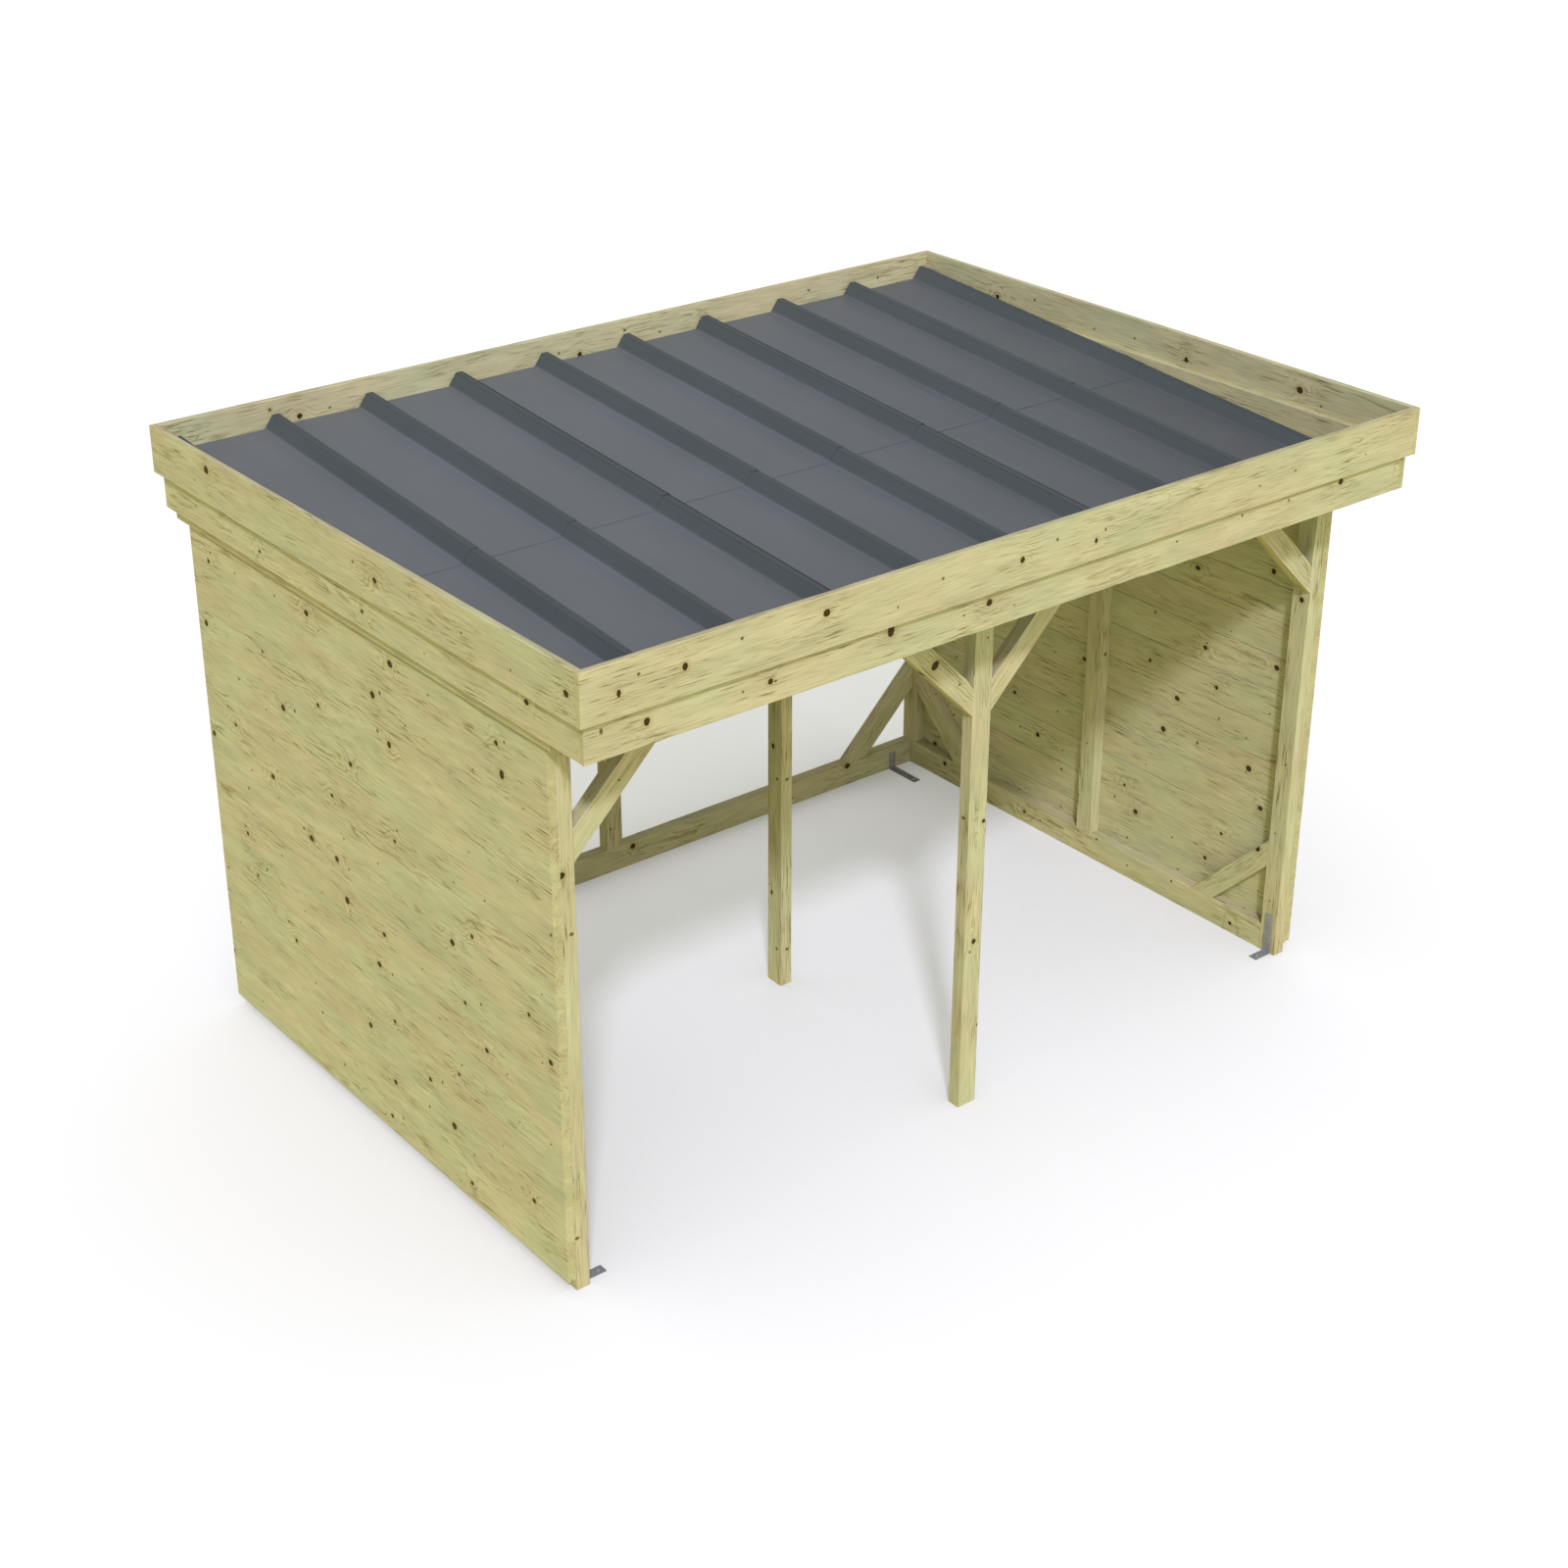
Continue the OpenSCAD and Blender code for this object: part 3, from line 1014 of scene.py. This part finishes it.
@dataclass
class Parapet:
    """Level parapet: two rows of boards round the roof and a packer over each side wall."""

    round_off: float = 0.0018
    rows: Sequence[str] = ("upper", "lower")
    faces: Sequence[tuple[str, Vector]] = (
        ("front", -Y_AXIS),
        ("right", X_AXIS),
        ("back", Y_AXIS),
        ("left", -X_AXIS),
    )
    packed_sides: Sequence[tuple[str, Vector]] = (("left", -X_AXIS), ("right", X_AXIS))

    def board(self, node: str, out: Vector) -> Timber:
        """A board on edge that fills its solid."""
        board = fill(node, Z_AXIS.cross(out), out, Sawn.PLAIN)
        board.round_off = self.round_off
        return board

    def build(self) -> None:
        """Makes and seats the eight boards and the two packers."""
        boards = [
            self.board(f"{side}_{row}_board", out)
            for row in self.rows
            for side, out in self.faces
        ]
        for side, out in self.packed_sides:
            packer = self.board(side + "_verge", out)
            packer.cuts = (roof_cut(Solid(packer.seed).high),)
            boards.append(packer)
        seat_timbers(boards)


@dataclass
class SteelRoof:
    """Two rows of three ribbed sheets, each lapping the next at a rib and the rows at mid roof.

    The lap mark is the width of the painted shadow line at a side lap. The lip is how far the
    back row's underside dips at its low end, which draws the line of the end lap.
    """

    sheet: float = 0.001
    first_rib: float = 0.034
    rib_pitch: float = 0.333
    rib_height: float = 0.042
    rib_crown: float = 0.024
    rib_foot: float = 0.080
    bend: float = 0.0022
    ribs_covered: int = 3
    lap_mark: float = 0.0055
    lip: float = 0.0009
    columns: Sequence[str] = ("left", "middle", "right")

    def rib_middle(self, index: int) -> float:
        """Place of a rib's middle from the left edge of the roof."""
        return self.first_rib + index * self.rib_pitch

    def rib(self, index: int, left_lift: float, whole: bool) -> list[tuple[float, float]]:
        """Bend points over one rib, from the left edge of the roof.

        Args:
            index: Which rib, from the left.
            left_lift: How far the left side is raised to lap over another sheet.
            whole: Whether the rib comes down again on its right.

        Returns:
            Place across and height of each bend.
        """
        middle = self.rib_middle(index)
        crown_right = middle + self.rib_crown / 2
        crown_top = self.rib_height + left_lift
        points = [(middle - self.rib_foot / 2, left_lift), (middle - self.rib_crown / 2, crown_top)]
        # On a lapping rib an extra point marks off the crown strip that carries the painted shadow
        # line
        points += [(crown_right - self.lap_mark, crown_top)] * (left_lift > 0)
        points.append((crown_right, crown_top))
        return points + [(middle + self.rib_foot / 2, 0.0)] * whole

    def rise(self, across: float, index: int) -> float:
        """Height of the steel over its pan at a place across a rib."""
        flank = (self.rib_foot - self.rib_crown) / 2
        inside = self.rib_foot / 2 - abs(across - self.rib_middle(index))
        return max(0.0, min(self.rib_height, inside * self.rib_height / flank))

    def line(self, column: int, width: float) -> list[tuple[float, float]]:
        """Bend points of one sheet across the roof.

        Args:
            column: 0 for the left sheet, 2 for the right one.
            width: Width of the roof.

        Returns:
            Place across and height of each bend, left to right.
        """
        first = column * self.ribs_covered
        last = first + self.ribs_covered
        ends_roof = column == len(self.columns) - 1
        if ends_roof:
            last = int((width + self.rib_foot / 2 - self.first_rib) / self.rib_pitch)
        points = self.rib(first, self.sheet if column else 0.0, True)
        for index in range(first + 1, last + 1):
            points += self.rib(index, 0.0, ends_roof or index < last)
        if column == 0:
            points.insert(0, (0.0, self.rise(0.0, first)))
        if ends_roof:
            points = [point for point in points if point[0] < width]
            points.append((width, self.rise(width, last)))
        return [point for point in points if point[0] >= 0.0]

    def sheet_mesh(self, node: str, column: int, left: float, width: float) -> Mesh:
        """Folds one sheet.

        Args:
            node: Solid that the sheet stands for.
            column: 0 for the left sheet, 2 for the right one.
            left: Left edge of the roof.
            width: Width of the roof.

        Returns:
            The folded sheet in its place.
        """
        solid = Solid(node)
        points = self.line(column, width)
        tall = max(height for _, height in points) + self.sheet
        up = roof_cut(solid.high).normal
        slant = up.cross(X_AXIS) * -1.0
        length = (solid.size.y + tall * up.y) / -slant.y
        start = Vector((left, solid.high.y, solid.high.z - tall * up.z))

        mesh = bmesh.new()
        rise = mesh.verts.layers.float.new("rise")
        lap_shadow = mesh.faces.layers.float.new("lap_shadow")
        verts = [mesh.verts.new(start + X_AXIS * across + up * high) for across, high in points]
        for pair in zip(verts, verts[1:]):
            mesh.edges.new(pair)
        bevel(mesh, verts[1:-1], self.bend, 3, "VERTICES")
        run = bmesh.ops.extrude_edge_only(mesh, edges=mesh.edges[:])
        far = push(mesh, run, slant * length)
        over = bmesh.ops.extrude_face_region(mesh, geom=mesh.faces[:], use_keep_orig=True)
        push(mesh, over, up * self.sheet)
        bmesh.ops.recalc_face_normals(mesh, faces=mesh.faces)
        for vert in mesh.verts:
            vert[rise] = min(1.0, max(0.0, (vert.co - start).dot(up) / self.rib_height))
        if node.startswith("back"):
            bmesh.ops.translate(mesh, verts=far, vec=up * -self.lip)
        # Marks the strip along the lapping sheet's edge, which gets a painted shadow line
        lap = left + self.rib_middle(column * self.ribs_covered)
        lap += (self.rib_crown - self.lap_mark) / 2
        for face in mesh.faces:
            off_lap = abs(face.calc_center_median().x - lap)
            face[lap_shadow] = float(column > 0 and off_lap < (self.lap_mark + self.bend) / 2)
        return to_mesh(mesh, node)

    def build(self) -> None:
        """Folds and seats the six sheets."""
        left = Solid("front_roof_left").low.x
        width = Solid("front_roof_right").high.x - left
        for row in ("front", "back"):
            for column, side in enumerate(self.columns):
                node = f"{row}_roof_{side}"
                mesh = self.sheet_mesh(node, column, left, width)
                seat(node + "_sheet", [mesh], Finish.STEEL, [node])


@dataclass(frozen=True)
class FixingHead:
    """The head of a bolt or screw: a pressed collar with a driver head of so many sides on it."""

    collar: float
    driver: float
    sides: int
    collar_high: float
    high: float
    sunk: float = 0.0002
    collar_sides: int = 28
    round_share: float = 0.3

    def make(self, name: str, seat_point: Vector, out: Vector) -> Mesh:
        """Turns one head and sets it on its seat.

        Args:
            name: Name of the mesh.
            seat_point: Middle of the surface that it bears on.
            out: The way that it faces.

        Returns:
            The head in its place.
        """
        mesh = bmesh.new()
        tiers = (
            (self.collar_sides, self.collar, self.collar_high, 0.0),
            (self.sides, self.driver, self.high - self.collar_high, self.collar_high - self.sunk),
        )
        for segments, radius, depth, base in tiers:
            made = bmesh.ops.create_cone(
                mesh, cap_ends=True, segments=segments, radius1=radius, radius2=radius, depth=depth
            )
            bmesh.ops.translate(mesh, verts=made["verts"], vec=(0, 0, base + depth / 2))
            top = base + depth - TOUCH
            rim = [edge for edge in mesh.edges if all(vert.co.z > top for vert in edge.verts)]
            bevel(mesh, rim, depth * self.round_share, 3)
        turn = out.to_track_quat("Z", "Y").to_matrix().to_4x4()
        spot = Matrix.Translation(seat_point) @ turn
        bmesh.ops.transform(mesh, matrix=spot, verts=mesh.verts)
        return to_mesh(mesh, name)


@dataclass
class FloorBracket:
    """A bent zinc angle: one leg up the timber, the other on the floor with an anchor hole."""

    node: str
    foot_way: Vector
    metal: float = 0.003
    bend: float = 0.005
    hole: float = 0.0055
    hole_sides: int = 24
    hole_from_end: float = 0.020
    bend_steps: int = 5
    edge_ease: float = 0.0005
    sharp: float = math.radians(60)
    screws_up: Sequence[float] = (0.42, 0.82)
    bolt: FixingHead = FixingHead(0.0092, 0.0066, 6, 0.0016, 0.0062)
    screw: FixingHead = FixingHead(0.0046, 0.0030, 24, 0.0012, 0.0024)

    def strip(self, foot: float, width: float, height: float) -> BMesh:
        """Bends the strip, its foot along +x and its leg along +z.

        Args:
            foot: Length of the leg on the floor.
            width: Width of the strip.
            height: Length of the leg up the timber.

        Returns:
            The strip with its hole, at its own origin.
        """
        mesh = bmesh.new()
        ring = bmesh.ops.create_circle(mesh, radius=self.hole, segments=self.hole_sides)
        bmesh.ops.translate(mesh, verts=ring["verts"], vec=(foot - self.hole_from_end, 0, 0))
        side = width / 2
        outline = ((self.bend, -side), (foot, -side), (foot, side), (self.bend, side))
        corners = [mesh.verts.new((x, y, 0)) for x, y in outline]
        for pair in zip(corners, corners[1:] + corners[:1]):
            mesh.edges.new(pair)
        bmesh.ops.triangle_fill(mesh, use_beauty=True, edges=mesh.edges[:])
        inner = [
            edge
            for edge in mesh.edges
            if all(abs(vert.co.x - self.bend) < TOUCH for vert in edge.verts)
        ]
        turn = bmesh.ops.spin(
            mesh,
            geom=inner,
            cent=(self.bend, 0, self.bend),
            axis=(0, 1, 0),
            angle=math.pi / 2,
            steps=self.bend_steps,
            use_duplicate=False,
        )
        tip = [part for part in turn["geom_last"] if isinstance(part, BMEdge)]
        leg = bmesh.ops.extrude_edge_only(mesh, edges=tip)
        push(mesh, leg, (0, 0, height - self.bend))
        bmesh.ops.remove_doubles(mesh, verts=mesh.verts, dist=TOUCH)
        bmesh.ops.recalc_face_normals(mesh, faces=mesh.faces)
        if mesh.faces[0].normal.z > 0:
            bmesh.ops.reverse_faces(mesh, faces=mesh.faces)
        bmesh.ops.solidify(mesh, geom=mesh.faces[:], thickness=self.metal)
        rim = [edge for edge in mesh.edges if edge.calc_face_angle(0.0) > self.sharp]
        bevel(mesh, rim, self.edge_ease, 2)
        return mesh

    def build(self) -> None:
        """Makes the strip, its bolt and its screws, and seats them as one piece."""
        solid = Solid(self.node)
        foot, height = solid.reach(self.foot_way), solid.size.z
        back = solid.middle - self.foot_way * foot / 2
        axes = Axes(Vector((*back.xy, solid.low.z)), self.foot_way, Z_AXIS)
        heel = axes.matrix()
        strip = self.strip(foot, solid.reach(axes.across), height)
        bmesh.ops.transform(strip, matrix=heel, verts=strip.verts)
        meshes = [to_mesh(strip, self.node)]
        hole = heel @ Vector((foot - self.hole_from_end, 0, self.metal))
        meshes.append(self.bolt.make(self.node + "_bolt", hole, Z_AXIS))
        for index, share in enumerate(self.screws_up):
            spot = heel @ Vector((self.metal, 0, share * height))
            meshes.append(self.screw.make(f"{self.node}_screw_{index}", spot, self.foot_way))
        seat(self.node + "_dressed", meshes, Finish.ZINC, [self.node])


# ---- Studio ----


@dataclass
class Studio:
    """Floor, lamps, white surround and the camera."""

    floor_reach: float = 60.0
    sky: float = 0.44
    sky_tint: Colour = (1.0, 1.0, 0.91, 1.0)
    lamps: Sequence[tuple[str, float, float, Triple]] = (
        ("key", 1.78, math.radians(5), (-0.889, -1.244, 1.4)),
        ("fill", 0.84, math.radians(70), (-0.5, -1.3, 0.5)),
    )
    lamp_tint: Triple = (1.0, 1.0, 1.24)
    eye: Triple = (-4.6167, -5.7205, 4.5657)
    eye_tilt: float = math.radians(64.317)
    eye_turn: float = math.radians(-38.405)
    lens: float = 58.54
    sensor: float = 36.0
    shift: tuple[float, float] = (0.0093, -0.0470)
    far_clip: float = 200.0
    white: Colour = (1.0, 1.0, 1.0, 1.0)

    def floor(self) -> None:
        """The floor under the shelter."""
        mesh = bmesh.new()
        bmesh.ops.create_grid(mesh, x_segments=1, y_segments=1, size=self.floor_reach)
        sheet = to_mesh(mesh, "floor")
        sheet.materials.append(Finish.FLOOR.material())
        add_object("floor", sheet)

    def surround(self) -> None:
        """White all round: plain light on the object and a white backdrop to look at."""
        world = bpy.data.worlds.new("white_surround")
        world.use_nodes = True
        bpy.context.scene.world = world
        nodes, links = world.node_tree.nodes, world.node_tree.links
        nodes.clear()
        mixed = nodes.new("ShaderNodeMixShader")
        rays = nodes.new("ShaderNodeLightPath")
        links.new(rays.outputs["Is Camera Ray"], mixed.inputs[0])
        for socket, colour, strength in ((1, self.sky_tint, self.sky), (2, self.white, 1.0)):
            glow = nodes.new("ShaderNodeBackground")
            glow.inputs["Color"].default_value = colour
            glow.inputs["Strength"].default_value = strength
            links.new(glow.outputs[0], mixed.inputs[socket])
        out = nodes.new("ShaderNodeOutputWorld")
        links.new(mixed.outputs[0], out.inputs[0])

    def light(self) -> None:
        """The key lamp high over the camera's shoulder, and a low soft fill from the front."""
        for name, energy, spread, toward in self.lamps:
            light = bpy.data.lights.new(name, "SUN")
            light.energy = energy
            light.angle = spread
            light.color = self.lamp_tint
            lamp = add_object(name, light)
            lamp.rotation_euler = Vector(toward).to_track_quat("Z", "Y").to_euler()

    def camera(self) -> None:
        """The camera, at the corner and above the roof."""
        data = bpy.data.cameras.new("camera")
        data.lens = self.lens
        data.sensor_width = self.sensor
        data.shift_x, data.shift_y = self.shift
        data.clip_end = self.far_clip
        camera = add_object("camera", data)
        camera.location = self.eye
        camera.rotation_euler = (self.eye_tilt, 0.0, self.eye_turn)
        bpy.context.scene.camera = camera

    def build(self) -> None:
        """Sets up the whole studio."""
        self.floor()
        self.surround()
        self.light()
        self.camera()
        bpy.context.scene.view_settings.view_transform = "Standard"


def main() -> None:
    """Builds the shelter and its studio."""
    logging.basicConfig(level=logging.INFO, format="%(message)s")
    Studio().build()
    PostFrame().build()
    KneeBraces().build()
    BoardedWall("left_wall", -1).build()
    BoardedWall("right_wall", 1).build()
    Parapet().build()
    SteelRoof().build()
    for node, way in (
        ("front_left_bracket", X_AXIS),
        ("front_right_bracket", -X_AXIS),
        ("back_left_bracket", -Y_AXIS),
        ("back_right_bracket", -Y_AXIS),
    ):
        FloorBracket(node, way).build()


if __name__ == "__main__":
    main()
